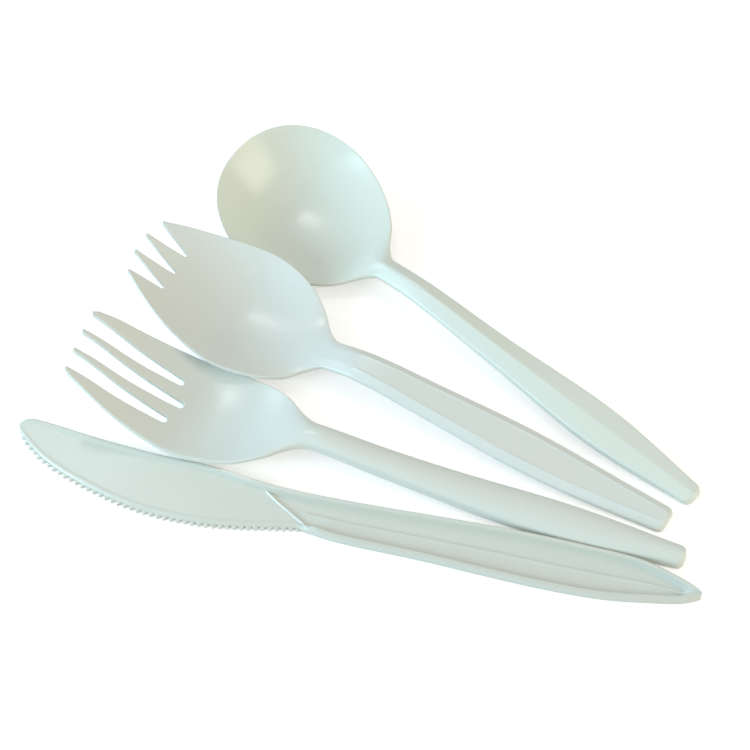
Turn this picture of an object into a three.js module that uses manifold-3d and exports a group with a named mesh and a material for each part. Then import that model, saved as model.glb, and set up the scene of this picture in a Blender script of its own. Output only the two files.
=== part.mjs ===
// Plastic cutlery pack: a knife, a fork, a spork and a soup spoon, fanned out and overlapping.
// Lengths are in millimetres and angles in degrees. Each utensil is one moulding. It is shaped
// lying flat, with its working end at x = 0, its handle end at x = its length, y across and z up,
// and is then laid in its place in the fan, on the table and on the utensils that it overlaps.
import * as THREE from 'three';
import { mergeVertices } from 'three/addons/utils/BufferGeometryUtils.js';
import Module from 'manifold-3d';

const wasm = await Module();
wasm.setup();

// Sizes that all four share
const WALL = 1.1;
const DRAFT_ANGLE = 3;
const END_CORNER = 1.6;

// Soup spoon
const SPOON_LENGTH = 158.5;
const SPOON_BOWL_LENGTH = 50;
const SPOON_BOWL_WIDTH = 44;
const SPOON_WIDEST = 22;
const SPOON_NECK_WIDTH = 6.6;
const SPOON_NECK_FILLET = 3;
const SPOON_HANDLE_WIDTH = 11.3;
const SPOON_HANDLE_WIDEST = 128;
const SPOON_HANDLE_DEPTH = 2.3;
const SPOON_END_WIDTH = 5.6;
const SPOON_RIDGE = 2;
const SPOON_END_RIDGE = 0.7;
const SPOON_SHELL = 1.2;
const SPOON_TIP_HEIGHT = 16.6;
const SPOON_HEIGHTS = [
  [0, SPOON_TIP_HEIGHT],
  [22, 10],
  [40, 5.9],
  [46, 5.3],
  [54, 6.8],
  [64, 8],
  [90, 6.4],
  [120, 4.4],
  [SPOON_LENGTH, SPOON_HANDLE_DEPTH],
];

// Spork
const SPORK_LENGTH = 158;
const SPORK_BOWL_LENGTH = 56;
const SPORK_BOWL_WIDTH = 37.8;
const SPORK_OVAL_CUT = 8;
const SPORK_WIDEST = 31;
const SPORK_NECK_WIDTH = 8.8;
const SPORK_NECK_FILLET = 3;
const SPORK_HANDLE_WIDTH = 12.4;
const SPORK_HANDLE_WIDEST = 118;
const SPORK_HANDLE_DEPTH = 1.2;
const SPORK_END_WIDTH = 7.6;
const SPORK_BEVEL_WIDTH = 2.2;
const SPORK_BEVEL_HEIGHT = 1.2;
const SPORK_SHELL = 1.2;
const SPORK_TINES = 4;
const SPORK_TINE_LENGTH = 10;
const SPORK_TINE_PITCH = 5.9;
const SPORK_TIP_DROP = 1.9;
const SPORK_NOTCH_ROOT = 1;
const SPORK_NOTCH_MOUTH = 4.7;
const SPORK_TIP_HEIGHT = 17;
const SPORK_HEIGHTS = [
  [0, SPORK_TIP_HEIGHT],
  [7, 14.2],
  [14, 11.6],
  [22, 9.8],
  [SPORK_WIDEST, 8.2],
  [SPORK_BOWL_LENGTH - 16, 6.6],
  [SPORK_BOWL_LENGTH - 10, 5.1],
  [SPORK_BOWL_LENGTH - 4, 3.6],
  [SPORK_BOWL_LENGTH + 3, 5.4],
  [SPORK_BOWL_LENGTH + 12, 7.1],
  [88, 5.9],
  [118, 3.3],
  [138, 1.8],
  [SPORK_LENGTH, SPORK_HANDLE_DEPTH],
];

// Fork
const FORK_LENGTH = 167.7;
const FORK_HEAD_LENGTH = 64;
const FORK_HEAD_WIDTH = 30.2;
const FORK_HEAD_DISH = 1.9;
const FORK_OVAL_CUT = 13;
const FORK_WIDEST = 34;
const FORK_NECK_WIDTH = 7.2;
const FORK_NECK_FILLET = 3.5;
const FORK_HANDLE_WIDTH = 10.7;
const FORK_HANDLE_WIDEST = 136;
const FORK_HANDLE_DEPTH = 1.8;
const FORK_END_WIDTH = 5.6;
const FORK_BARREL = 2.2;
const FORK_SHELL = 1.3;
const FORK_TINES = 4;
const FORK_TINE_LENGTH = 30.4;
const FORK_TINE_PITCH = 6.25;
const FORK_TIP_DROP = 0.45;
const FORK_ROOT_STEP = 2.2;
const FORK_SLOT_ROOT = 2.1;
const FORK_SLOT_MOUTH = 4.9;
const FORK_TIP_HEIGHT = 20.8;
const FORK_HEIGHTS = [
  [0, FORK_TIP_HEIGHT],
  [7, 16.9],
  [15, 11.2],
  [23, 6.8],
  [31, 3.9],
  [38, 3.4],
  [FORK_HEAD_LENGTH - 16, 4.3],
  [FORK_HEAD_LENGTH - 8, 6.5],
  [FORK_HEAD_LENGTH, 7.5],
  [87, 4.8],
  [112, 2.4],
  [135, FORK_HANDLE_DEPTH],
  [FORK_LENGTH, FORK_HANDLE_DEPTH],
];

// Knife, lying with the open side of its handle up
const KNIFE_LENGTH = 184;
const KNIFE_BLADE_LENGTH = 74.8;
const KNIFE_BLADE_WIDTH = 17.8;
const KNIFE_BLADE_THICKNESS = 1.3;
const KNIFE_EDGE_THICKNESS = 0.7;
const KNIFE_NECK_WIDTH = 10.2;
const KNIFE_HANDLE_WIDTH = 14.2;
const KNIFE_HANDLE_HEIGHT = 3.2;
const KNIFE_FLOOR = 0.9;
const KNIFE_SPINE_HEIGHT = 2;
const KNIFE_RIM_WIDTH = 1.2;
const KNIFE_RIB_WIDTH = 0.7;
const KNIFE_RIB_HEIGHT = 0.45;
const KNIFE_BEAD = 0.3;
const KNIFE_EDGE_BEAD = 0.15;
const KNIFE_HEEL_SLANT = 17;
const KNIFE_TEETH = 46;
const KNIFE_TOOTH_DEPTH = 1;

// Places in the fan: the middle of each handle end, the heading of its working end and how far the
// side toward the knife is rolled up. Each piece is tipped up until it rests on what lies under it,
// with a gap of a few tenths.
const SEAT_GAP = 0.4;
const KNIFE_END = new THREE.Vector2(82.8, -66);
const KNIFE_HEADING = 163.9;
const FORK_END = new THREE.Vector2(79.2, -54.8);
const FORK_HEADING = 160.85;
const FORK_ROLL = 1;
const SPORK_END = new THREE.Vector2(75.6, -43.4);
const SPORK_HEADING = 150.8;
const SPORK_ROLL = -2;
const SPOON_END = new THREE.Vector2(83, -36.4);
const SPOON_HEADING = 138.7;
const SPOON_ROLL = -7;

const plastic = { roughness: 0.42, metalness: 0 };
const SPOON_COLOUR = 0xd6e4dd;
const SPORK_COLOUR = 0xd5e4df;
const FORK_COLOUR = 0xd3e2de;
const KNIFE_COLOUR = 0xd1dfd8;

const mix = THREE.MathUtils.lerp;
const smoothstep = THREE.MathUtils.smoothstep;
const radians = THREE.MathUtils.degToRad;

// A smooth curve through a few [x, value] points, flat beyond the first and the last.
function through(...points) {
  const curve = new THREE.CubicInterpolant(
    points.map(([x]) => x),
    points.map(([, value]) => value),
    1
  );
  return (x) => curve.evaluate(x)[0];
}

// A half width whose inside corner, where a head runs into its handle, is rounded over a reach.
function softened(halfWidth, from, reach) {
  return (x) => {
    const spread = reach * smoothstep(x, from, from + 3 * reach);
    const steps = [-1, -0.6, -0.2, 0.2, 0.6, 1];
    return steps.reduce((sum, step) => sum + halfWidth(x + step * spread), 0) / steps.length;
  };
}

// Half of an oval that is widest at a given place and narrows to nothing at both ends, with
// a fullness toward its tip and another toward the handle. Its tip may lie ahead of x = 0, by cut.
function oval(x, widest, length, halfWidth, tipFullness, backFullness, cut = 0) {
  const reach = x < widest ? (widest - x) / (widest + cut) : (x - widest) / (length - widest);
  const fullness = x < widest ? tipFullness : backFullness;
  return reach < 1 ? halfWidth * (1 - reach ** fullness) ** (1 / fullness) : 0;
}

// Height of the middle of a bowl: low at its widest place, up to the rim at the tip and the neck.
function keel(x, widest, length, low, tip, neck) {
  if (x < widest) return mix(low, tip, ((widest - x) / widest) ** 2.3);
  return mix(low, neck, Math.min(1, (x - widest) / (length - widest)) ** 2);
}

// Closed solid through a row of loops that all have the same number of points. Each loop runs
// over the top and back underneath, so that its ends close with a strip between the two.
function loft(loops) {
  const around = loops[0].length;
  const faces = [];
  for (let i = 0; i + 1 < loops.length; i += 1) {
    for (let j = 0; j < around; j += 1) {
      const a = i * around + j;
      const b = i * around + ((j + 1) % around);
      faces.push(a, b, b + around, a, b + around, a + around);
    }
  }
  const last = (loops.length - 1) * around;
  for (let j = 0; j + 1 < around / 2; j += 1) {
    const [a, b, c, d] = [j, j + 1, around - 2 - j, around - 1 - j];
    faces.push(c, b, a, d, c, a);
    faces.push(last + a, last + b, last + c, last + a, last + c, last + d);
  }
  const geometry = new THREE.BufferGeometry();
  geometry.setAttribute('position', new THREE.Float32BufferAttribute(loops.flat(2), 3));
  geometry.setIndex(faces);
  return geometry;
}

function toSolid(geometry) {
  const bare = geometry.clone();
  bare.deleteAttribute('normal');
  bare.deleteAttribute('uv');
  const merged = mergeVertices(bare, 1e-4);
  return new wasm.Manifold(
    new wasm.Mesh({
      numProp: 3,
      vertProperties: new Float32Array(merged.attributes.position.array),
      triVerts: new Uint32Array(merged.index.array),
    })
  );
}

function toGeometry(solid) {
  const { vertProperties, triVerts } = solid.getMesh();
  const geometry = new THREE.BufferGeometry();
  geometry.setAttribute('position', new THREE.BufferAttribute(vertProperties, 3));
  geometry.setIndex(new THREE.BufferAttribute(triVerts, 1));
  return geometry;
}

// Cuts an upright prism of the given plan outline out of a geometry.
function cutThrough(geometry, outline, height) {
  const prism = new THREE.ExtrudeGeometry(outline, {
    depth: 3 * height,
    bevelEnabled: false,
    curveSegments: 6,
  });
  prism.translate(0, 0, -height);
  return toGeometry(toSolid(geometry).subtract(toSolid(prism)));
}

// How the upper face runs from its middle, 1, to its edge, 0, at a share v of the half width
const BOWL = (v) => 1 - v ** 2.2;
const ROOF = (v) => 1 - v;
const BARREL = (v) => Math.sqrt(1 - v * v);
const FLAT_TOP = (v, crease) => Math.min(1, (1 - v) / (1 - crease));

// A thin moulding with a dished head and a handle that is an open channel, top face up. Along x
// its form gives halfWidth, edge (the height of the outline), rise (of the middle above the edge,
// negative in a bowl), depth (of the outer wall below the edge), handle (0 in the head, 1 in the
// handle) and crease (the share of the half width where the top turns down).
function moulding(form, stations) {
  const lean = Math.tan(radians(DRAFT_ANGLE));
  const loops = stations.map((x) => {
    const half = form.halfWidth(x);
    const edge = form.edge(x);
    const handle = form.handle(x);
    const crease = form.crease(x);
    const depth = form.depth(x);
    const top = (share) => {
      const v = Math.abs(share);
      return edge + form.rise(x) * mix(BOWL(v), form.profile(v, crease), handle);
    };
    const side = [crease / 2, crease, (1 + 2 * crease) / 3, (2 + crease) / 3, 1];
    const shares = [...side.map((v) => -v).reverse(), 0, ...side].reverse();
    const foot = edge - depth;
    const lip = Math.min(mix(WALL / 3, WALL, handle), half / 4);
    const under = half - 1.2 * lip;
    const inEndWall = x > form.length - WALL;
    const lower = [...shares].reverse().map((v) => {
      const slope = (top(Math.abs(v) - 0.02) - top(v)) / (0.02 * half);
      const height = top((v * under) / half) - form.shell * Math.hypot(1, Math.min(slope, 1));
      return [x, v * under, inEndWall ? foot : height];
    });
    return [
      [x, half + depth * lean, foot],
      ...shares.map((v) => [x, v * half, top(v)]),
      [x, -half - depth * lean, foot],
      [x, lip - half, inEndWall ? foot - 0.01 : foot],
      ...lower,
      [x, half - lip, inEndWall ? foot - 0.01 : foot],
    ];
  });
  return loft(loops);
}

// Places of the sections: close together round the tip and at the handle end, even between.
function stationsOf(length, headLength, neckPitch, handlePitch) {
  const stations = [];
  const tipSteps = 9;
  const tip = headLength * 0.4;
  for (let i = 0; i < tipSteps; i += 1) {
    stations.push(tip * (1 - Math.cos(((i + 0.35) / tipSteps) * (Math.PI / 2))));
  }
  for (let x = tip; x < headLength + 12; x += neckPitch) stations.push(x);
  const start = stations[stations.length - 1];
  const handleSteps = Math.round((length - END_CORNER - start) / handlePitch);
  for (let i = 1; i <= handleSteps; i += 1) {
    stations.push(mix(start, length - END_CORNER, i / handleSteps));
  }
  stations.push(length - WALL - 0.1, length - WALL + 0.1, length - 0.4 * END_CORNER, length);
  return stations.sort((a, b) => a - b);
}

// Half width of a handle whose end has rounded corners.
function withRoundedEnd(halfWidth, length) {
  return (x) => {
    const into = Math.max(0, x - (length - END_CORNER)) / END_CORNER;
    return halfWidth(x) - END_CORNER * (1 - Math.sqrt(1 - Math.min(1, into) ** 2));
  };
}

function spoonGeometry() {
  const neck = SPOON_BOWL_LENGTH + 8;
  const handleLength = SPOON_LENGTH - neck;
  const handleWidth = through(
    [neck, SPOON_NECK_WIDTH / 2],
    [neck + 0.35 * handleLength, 0.37 * SPOON_HANDLE_WIDTH],
    [SPOON_HANDLE_WIDEST, SPOON_HANDLE_WIDTH / 2],
    [SPOON_LENGTH, SPOON_END_WIDTH / 2]
  );
  const bowl = (x) => oval(x, SPOON_WIDEST, SPOON_BOWL_LENGTH, SPOON_BOWL_WIDTH / 2, 2.15, 1.8);
  const ridge = through([neck, SPOON_RIDGE], [SPOON_LENGTH, SPOON_END_RIDGE]);
  const handle = (x) => smoothstep(x, SPOON_BOWL_LENGTH - 7, SPOON_BOWL_LENGTH + 3);
  const edge = through(...SPOON_HEIGHTS);
  const bowlEnd = edge(SPOON_BOWL_LENGTH);
  const floor = (x) =>
    keel(x, SPOON_WIDEST, SPOON_BOWL_LENGTH, SPOON_SHELL, SPOON_TIP_HEIGHT, bowlEnd);
  const form = {
    length: SPOON_LENGTH,
    shell: SPOON_SHELL,
    profile: ROOF,
    handle,
    crease: () => 0.5,
    halfWidth: withRoundedEnd(
      softened(
        (x) => Math.max(bowl(x), x > SPOON_WIDEST ? handleWidth(x) : 0),
        SPOON_WIDEST,
        SPOON_NECK_FILLET
      ),
      SPOON_LENGTH
    ),
    edge,
    rise: (x) => ridge(x) * handle(x) - Math.max(0, edge(x) - floor(x)) * (1 - handle(x)),
    depth: (x) => mix(SPOON_SHELL, SPOON_HANDLE_DEPTH, smoothstep(x, neck - 6, neck + 50)),
  };
  return moulding(form, stationsOf(SPOON_LENGTH, SPOON_BOWL_LENGTH, 2.2, 8));
}

// Plan outline of everything that is cut away between and ahead of a row of tines. Each slot
// widens from its round root to its mouth. The outer tines end a little behind the others, and
// the outer slots are shorter than the middle one.
function tineCutter({ tines, pitch, length, root, mouth, tipDrop, rootStep, reach }) {
  const comb = new THREE.Shape();
  const outer = (tines / 2) * pitch + reach;
  const tip = (pitch - mouth) / 2;
  comb.moveTo(-reach, -outer);
  comb.lineTo(tipDrop + tip, -outer);
  for (let i = 0; i < tines; i += 1) {
    const y = (i - (tines - 1) / 2) * pitch;
    const drop = i === 0 || i === tines - 1 ? tipDrop : 0;
    comb.absarc(drop + tip, y, tip, -Math.PI / 2, -1.5 * Math.PI, true);
    if (i < tines - 1) {
      const slot = y + pitch / 2;
      const end = length - root / 2 - (Math.abs(slot) > pitch / 2 ? rootStep : 0);
      comb.absarc(end, slot, root / 2, -Math.PI / 2, Math.PI / 2, false);
    }
  }
  comb.lineTo(tipDrop + tip, outer);
  comb.lineTo(-reach, outer);
  return comb;
}

function sporkGeometry() {
  const neck = SPORK_BOWL_LENGTH + 7;
  const handleLength = SPORK_LENGTH - neck;
  const handleWidth = through(
    [neck, SPORK_NECK_WIDTH / 2],
    [neck + 0.3 * handleLength, 0.44 * SPORK_HANDLE_WIDTH],
    [SPORK_HANDLE_WIDEST, SPORK_HANDLE_WIDTH / 2],
    [SPORK_LENGTH, SPORK_END_WIDTH / 2]
  );
  const bowl = (x) =>
    oval(x, SPORK_WIDEST, SPORK_BOWL_LENGTH, SPORK_BOWL_WIDTH / 2, 1.5, 1.9, SPORK_OVAL_CUT);
  const handle = (x) => smoothstep(x, SPORK_BOWL_LENGTH - 8, SPORK_BOWL_LENGTH + 8);
  const halfWidth = softened(
    (x) => Math.max(bowl(x), x > SPORK_WIDEST ? handleWidth(x) : 0),
    SPORK_WIDEST,
    SPORK_NECK_FILLET
  );
  const edge = through(...SPORK_HEIGHTS);
  const bowlEnd = edge(SPORK_BOWL_LENGTH);
  const floor = (x) =>
    keel(x, SPORK_WIDEST, SPORK_BOWL_LENGTH, SPORK_SHELL, SPORK_TIP_HEIGHT, bowlEnd);
  const form = {
    length: SPORK_LENGTH,
    shell: SPORK_SHELL,
    profile: FLAT_TOP,
    handle,
    crease: (x) => mix(0.5, 1 - SPORK_BEVEL_WIDTH / halfWidth(x), handle(x)),
    halfWidth: withRoundedEnd(halfWidth, SPORK_LENGTH),
    edge,
    rise: (x) => SPORK_BEVEL_HEIGHT * handle(x) - Math.max(0, edge(x) - floor(x)) * (1 - handle(x)),
    depth: () => SPORK_HANDLE_DEPTH,
  };
  const blank = moulding(form, stationsOf(SPORK_LENGTH, SPORK_BOWL_LENGTH, 2.4, 8));
  const cutter = tineCutter({
    tines: SPORK_TINES,
    pitch: SPORK_TINE_PITCH,
    length: SPORK_TINE_LENGTH,
    root: SPORK_NOTCH_ROOT,
    mouth: SPORK_NOTCH_MOUTH,
    tipDrop: SPORK_TIP_DROP,
    rootStep: 0,
    reach: 10,
  });
  return cutThrough(blank, cutter, SPORK_TIP_HEIGHT + 5);
}

function forkGeometry() {
  const neck = FORK_HEAD_LENGTH + 8;
  const handleWidth = through(
    [neck, FORK_NECK_WIDTH / 2],
    [neck + 20, FORK_NECK_WIDTH / 2 + 0.5],
    [FORK_HANDLE_WIDEST, FORK_HANDLE_WIDTH / 2],
    [FORK_LENGTH, FORK_END_WIDTH / 2]
  );
  const head = (x) =>
    oval(x, FORK_WIDEST, FORK_HEAD_LENGTH, FORK_HEAD_WIDTH / 2, 1.8, 2, FORK_OVAL_CUT);
  const handle = (x) => smoothstep(x, FORK_HEAD_LENGTH - 12, FORK_HEAD_LENGTH + 6);
  const form = {
    length: FORK_LENGTH,
    shell: FORK_SHELL,
    profile: BARREL,
    handle,
    crease: () => 0.5,
    halfWidth: withRoundedEnd(
      softened(
        (x) => Math.max(head(x), x > FORK_WIDEST ? handleWidth(x) : 0),
        FORK_WIDEST,
        FORK_NECK_FILLET
      ),
      FORK_LENGTH
    ),
    edge: through(...FORK_HEIGHTS),
    rise: (x) => {
      const dish = FORK_HEAD_DISH * (head(x) / (FORK_HEAD_WIDTH / 2));
      return FORK_BARREL * handle(x) - dish * (1 - handle(x));
    },
    depth: (x) => mix(FORK_SHELL, FORK_HANDLE_DEPTH, handle(x)),
  };
  const blank = moulding(form, stationsOf(FORK_LENGTH, FORK_HEAD_LENGTH, 2.6, 8));
  const cutter = tineCutter({
    tines: FORK_TINES,
    pitch: FORK_TINE_PITCH,
    length: FORK_TINE_LENGTH,
    root: FORK_SLOT_ROOT,
    mouth: FORK_SLOT_MOUTH,
    tipDrop: FORK_TIP_DROP,
    rootStep: FORK_ROOT_STEP,
    reach: 10,
  });
  return cutThrough(blank, cutter, FORK_TIP_HEIGHT + 5);
}

// Plan of the knife: the spine side and the edge side, about the line from tip to handle end.
const knifeHeel = KNIFE_BLADE_LENGTH;
const knifeMid = -4.3;
const handleMid = -1.4;
const spineCurve = through(
  [0, 1.4],
  [0.3, 2.2],
  [1, 3.2],
  [2.6, 3.85],
  [6, 3.8],
  [20, 2.8],
  [38, 2.3],
  [52, 2.4],
  [64, 1.2],
  [knifeHeel, knifeMid + KNIFE_NECK_WIDTH / 2],
  [knifeHeel + 14, knifeMid + 0.56 * KNIFE_NECK_WIDTH],
  [118, 3.8],
  [135, 5.1],
  [152, handleMid + KNIFE_HANDLE_WIDTH / 2],
  [168, 5.5],
  [KNIFE_LENGTH - 6, 3.1],
  [KNIFE_LENGTH - 2, 1.6],
  [KNIFE_LENGTH - 0.5, 0.8],
  [KNIFE_LENGTH, 0.2]
);
const edgeCurve = through(
  [0, 1],
  [0.3, 0.2],
  [0.9, -0.9],
  [2, -2.4],
  [5, -5],
  [10, -8.1],
  [22, -12.4],
  [38, 2.3 - KNIFE_BLADE_WIDTH],
  [52, 2.4 - KNIFE_BLADE_WIDTH],
  [62, -13.9],
  [knifeHeel - 1, knifeMid - 0.66 * KNIFE_NECK_WIDTH],
  [knifeHeel + 6, knifeMid - KNIFE_NECK_WIDTH / 2],
  [knifeHeel + 14, knifeMid - 0.54 * KNIFE_NECK_WIDTH],
  [112, -9.1],
  [146, handleMid - KNIFE_HANDLE_WIDTH / 2],
  [160, -7.3],
  [172, -4.9],
  [KNIFE_LENGTH - 4, -2.7],
  [KNIFE_LENGTH - 1.4, -1.3],
  [KNIFE_LENGTH - 0.4, -0.6],
  [KNIFE_LENGTH, -0.1]
);

function knifeGeometry() {
  const diagonal = knifeHeel;
  const slant = (s) => {
    const rise = smoothstep(s, diagonal - 40, diagonal - 3);
    return KNIFE_HEEL_SLANT * rise * (1 - smoothstep(s, diagonal + 3, diagonal + 40));
  };
  const spineHeight = through(
    [0, KNIFE_SPINE_HEIGHT * 0.8],
    [35, KNIFE_SPINE_HEIGHT],
    [diagonal + 4, KNIFE_HANDLE_HEIGHT],
    [KNIFE_LENGTH, KNIFE_HANDLE_HEIGHT]
  );
  const section = (s) => {
    const inHandle = smoothstep(s, diagonal, diagonal + 2.4);
    const onBead = s > diagonal - 1.1 && s < diagonal - 0.1;
    const inTip = smoothstep(s, KNIFE_LENGTH - 5, KNIFE_LENGTH - 2);
    const floorHeight = s < diagonal ? KNIFE_BLADE_THICKNESS : KNIFE_FLOOR;
    const floor = mix(floorHeight + (onBead ? KNIFE_BEAD : 0), KNIFE_HANDLE_HEIGHT - 0.1, inTip);
    const rib = floor + (s > diagonal ? KNIFE_RIB_HEIGHT * (1 - inTip) : 0);
    const wallHeight = mix(KNIFE_BLADE_THICKNESS + KNIFE_EDGE_BEAD, KNIFE_HANDLE_HEIGHT, inHandle);
    const width = spineCurve(s) - edgeCurve(s);
    const fullLand = mix(1.5 * KNIFE_TOOTH_DEPTH, 0.05, inHandle);
    const fullHalf = 1.25 * KNIFE_RIM_WIDTH + 0.75 * KNIFE_RIB_WIDTH + fullLand;
    const squeeze = Math.min(1, width / (2.1 * fullHalf));
    const rim = KNIFE_RIM_WIDTH * squeeze;
    const land = fullLand * squeeze;
    const edgeTop = mix(KNIFE_EDGE_THICKNESS, KNIFE_HANDLE_HEIGHT - 0.05, inHandle);
    const spineTop = spineHeight(s);
    const place = (share, across, z) => {
      const x = s + slant(s) * (share - 0.5);
      return [x, mix(spineCurve(x), edgeCurve(x), share) + across, z];
    };
    const ribHalf = (KNIFE_RIB_WIDTH / 2) * squeeze;
    return [
      place(0, -0.1 * squeeze, 0),
      place(0, 0, spineTop),
      place(0, -rim, spineTop),
      place(0, -1.25 * rim, Math.min(floor, spineTop - 0.1)),
      place(0.5, 1.5 * ribHalf, floor),
      place(0.5, ribHalf, rib),
      place(0.5, -ribHalf, rib),
      place(0.5, -1.5 * ribHalf, floor),
      place(1, land + 1.25 * rim, floor),
      place(1, land + rim, wallHeight),
      place(1, land + 0.6 * rim * (1 - inHandle), wallHeight),
      place(1, land * 0.95, mix(edgeTop, wallHeight, inHandle)),
      place(1, 0, edgeTop),
      place(1, 0.1 * inHandle * squeeze, 0),
    ];
  };
  const stations = [];
  for (const x of [0, 0.5, 1.2, 2.2, 3.6, 5.4, 8, 11]) stations.push(x);
  for (let x = 15; x < diagonal - 2; x += 4) stations.push(x);
  for (const step of [-2, -1.2, -1, -0.2, 0.1, 0.9, 1.7, 2.6]) stations.push(diagonal + step);
  for (let x = diagonal + 6; x < KNIFE_LENGTH - 12; x += 5) stations.push(x);
  for (const back of [10, 7, 5, 3.6, 2.4, 1.4, 0.6, 0]) stations.push(KNIFE_LENGTH - back);
  const blank = loft(stations.map(section));
  return cutThrough(blank, toothCutter(), KNIFE_HANDLE_HEIGHT);
}

// Plan outline of what is cut away between the teeth, from near the tip to the heel.
function toothCutter() {
  const line = [];
  for (let x = 2.5; x < knifeHeel + 2; x += 1) line.push(new THREE.Vector2(x, edgeCurve(x)));
  const curve = new THREE.SplineCurve(line);
  const shape = new THREE.Shape();
  const marks = 2 * KNIFE_TEETH;
  for (let i = 0; i <= marks; i += 1) {
    const point = curve.getPointAt(i / marks);
    const along = curve.getTangentAt(i / marks);
    const inset = i % 2 ? KNIFE_TOOTH_DEPTH : -0.02;
    point.x -= along.y * inset;
    point.y += along.x * inset;
    if (i === 0) shape.moveTo(point.x, point.y);
    else shape.lineTo(point.x, point.y);
  }
  const last = curve.getPointAt(1);
  shape.lineTo(last.x, last.y - 8);
  shape.lineTo(-8, last.y - 8);
  shape.lineTo(-8, edgeCurve(2.5));
  return shape;
}

// A named mesh of a utensil, lying with its handle end at a place in the fan.
function utensil(name, geometry, colour, length, end, heading, roll) {
  const flat = geometry.index ? geometry.toNonIndexed() : geometry;
  flat.computeVertexNormals();
  flat.translate(-length, 0, 0);
  flat.rotateZ(Math.PI);
  const mesh = new THREE.Mesh(
    flat,
    new THREE.MeshStandardMaterial({ color: colour, ...plastic })
  );
  mesh.name = name;
  const place = new THREE.Group();
  place.position.set(end.x, end.y, 0);
  place.rotation.set(radians(roll), 0, radians(heading), 'ZYX');
  place.add(mesh);
  return place;
}

// Corners of a placed utensil.
function cornersOf(place) {
  place.updateMatrixWorld(true);
  const [mesh] = place.children;
  const bare = mesh.geometry.clone();
  bare.deleteAttribute('normal');
  const { position } = mergeVertices(bare).attributes;
  const corners = [];
  for (let i = 0; i < position.count; i += 1) {
    corners.push(new THREE.Vector3().fromBufferAttribute(position, i).applyMatrix4(mesh.matrixWorld));
  }
  return corners;
}

// Where upright rays through the given corners first meet a utensil, from above or from below.
function heightsOver(place, corners, fromAbove) {
  const [mesh] = place.children;
  const box = new THREE.Box3().setFromObject(place, true);
  const ray = new THREE.Raycaster();
  const [start, way] = fromAbove ? [1000, -1] : [-1000, 1];
  return corners
    .filter(({ x, y }) => x > box.min.x && x < box.max.x && y > box.min.y && y < box.max.y)
    .flatMap((corner) => {
      ray.set(new THREE.Vector3(corner.x, corner.y, start), new THREE.Vector3(0, 0, way));
      const [hit] = ray.intersectObject(mesh);
      return hit ? [{ corner, height: hit.point.z }] : [];
    });
}

// Lays a utensil down: its handle end on the table, and its working end tipped up until it clears
// the table and each utensil under it.
function rest(place, under) {
  const [mesh] = place.children;
  mesh.material.side = THREE.DoubleSide;
  for (let round = 0; round < 3; round += 1) {
    const corners = cornersOf(place);
    place.position.z -= Math.min(...corners.map(({ z }) => z));
    const own = cornersOf(place);
    const away = ({ x, y }) => Math.hypot(x - place.position.x, y - place.position.y);
    const lifts = own.filter((corner) => away(corner) > 50).map((corner) => -corner.z / away(corner));
    for (const other of under) {
      for (const { corner, height } of heightsOver(other, own, true)) {
        lifts.push((height + SEAT_GAP - corner.z) / away(corner));
      }
      for (const { corner, height } of heightsOver(place, cornersOf(other), false)) {
        lifts.push((corner.z + SEAT_GAP - height) / away(corner));
      }
    }
    place.rotation.y -= Math.atan(Math.max(...lifts));
  }
  mesh.material.side = THREE.FrontSide;
  return place;
}

const knife = utensil('knife', knifeGeometry(), KNIFE_COLOUR, KNIFE_LENGTH, KNIFE_END, KNIFE_HEADING, 0);
const fork = utensil('fork', forkGeometry(), FORK_COLOUR, FORK_LENGTH, FORK_END, FORK_HEADING, FORK_ROLL);
const spork = utensil(
  'spork',
  sporkGeometry(),
  SPORK_COLOUR,
  SPORK_LENGTH,
  SPORK_END,
  SPORK_HEADING,
  SPORK_ROLL
);
const spoon = utensil(
  'spoon',
  spoonGeometry(),
  SPOON_COLOUR,
  SPOON_LENGTH,
  SPOON_END,
  SPOON_HEADING,
  SPOON_ROLL
);
rest(spoon, []);
rest(fork, [knife]);
rest(spork, [fork, spoon]);

const group = new THREE.Group();
group.add(knife, fork, spork, spoon);

// The origin is the middle of the underside of the whole pack.
const box = new THREE.Box3().setFromObject(group, true);
group.position.set(-(box.min.x + box.max.x) / 2, -(box.min.y + box.max.y) / 2, -box.min.z);

export default group;
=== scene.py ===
"""Looks of the plastic cutlery pack: a knife, a fork, a spork and a soup spoon in satin plastic.

Sizes are in millimetres in the classes below, as in the part's source, and each finished mesh is
laid in its place in the fan in metres. A utensil is shaped lying flat, with its working end at
x = 0, its handle end at x = its length, y across and z up.
"""
import logging
import math
from dataclasses import dataclass, field
from enum import Enum
from typing import Callable, Sequence

import bmesh
import bpy
import numpy as np
from mathutils import Euler, Matrix, Vector
from mathutils.geometry import delaunay_2d_cdt


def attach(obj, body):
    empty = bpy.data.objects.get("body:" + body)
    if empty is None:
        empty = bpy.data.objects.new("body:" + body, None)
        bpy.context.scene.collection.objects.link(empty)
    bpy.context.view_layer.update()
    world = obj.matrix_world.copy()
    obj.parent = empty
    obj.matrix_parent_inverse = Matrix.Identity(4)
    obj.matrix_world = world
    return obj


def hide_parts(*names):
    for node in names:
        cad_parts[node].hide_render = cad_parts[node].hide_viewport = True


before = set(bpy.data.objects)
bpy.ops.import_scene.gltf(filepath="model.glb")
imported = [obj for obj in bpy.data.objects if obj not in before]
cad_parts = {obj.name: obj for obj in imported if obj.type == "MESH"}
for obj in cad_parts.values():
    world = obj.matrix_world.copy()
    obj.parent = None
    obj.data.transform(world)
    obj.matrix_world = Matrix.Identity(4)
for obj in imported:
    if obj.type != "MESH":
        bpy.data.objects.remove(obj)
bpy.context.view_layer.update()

log = logging.getLogger("cutlery")

Curve = Callable[[np.ndarray], np.ndarray]

MM = 0.001

# Moves the fan so that the middle of its box, seen from above, is at x = y = 0.
PACK_SHIFT = (4.7033, -3.6596, 0.0)


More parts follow.
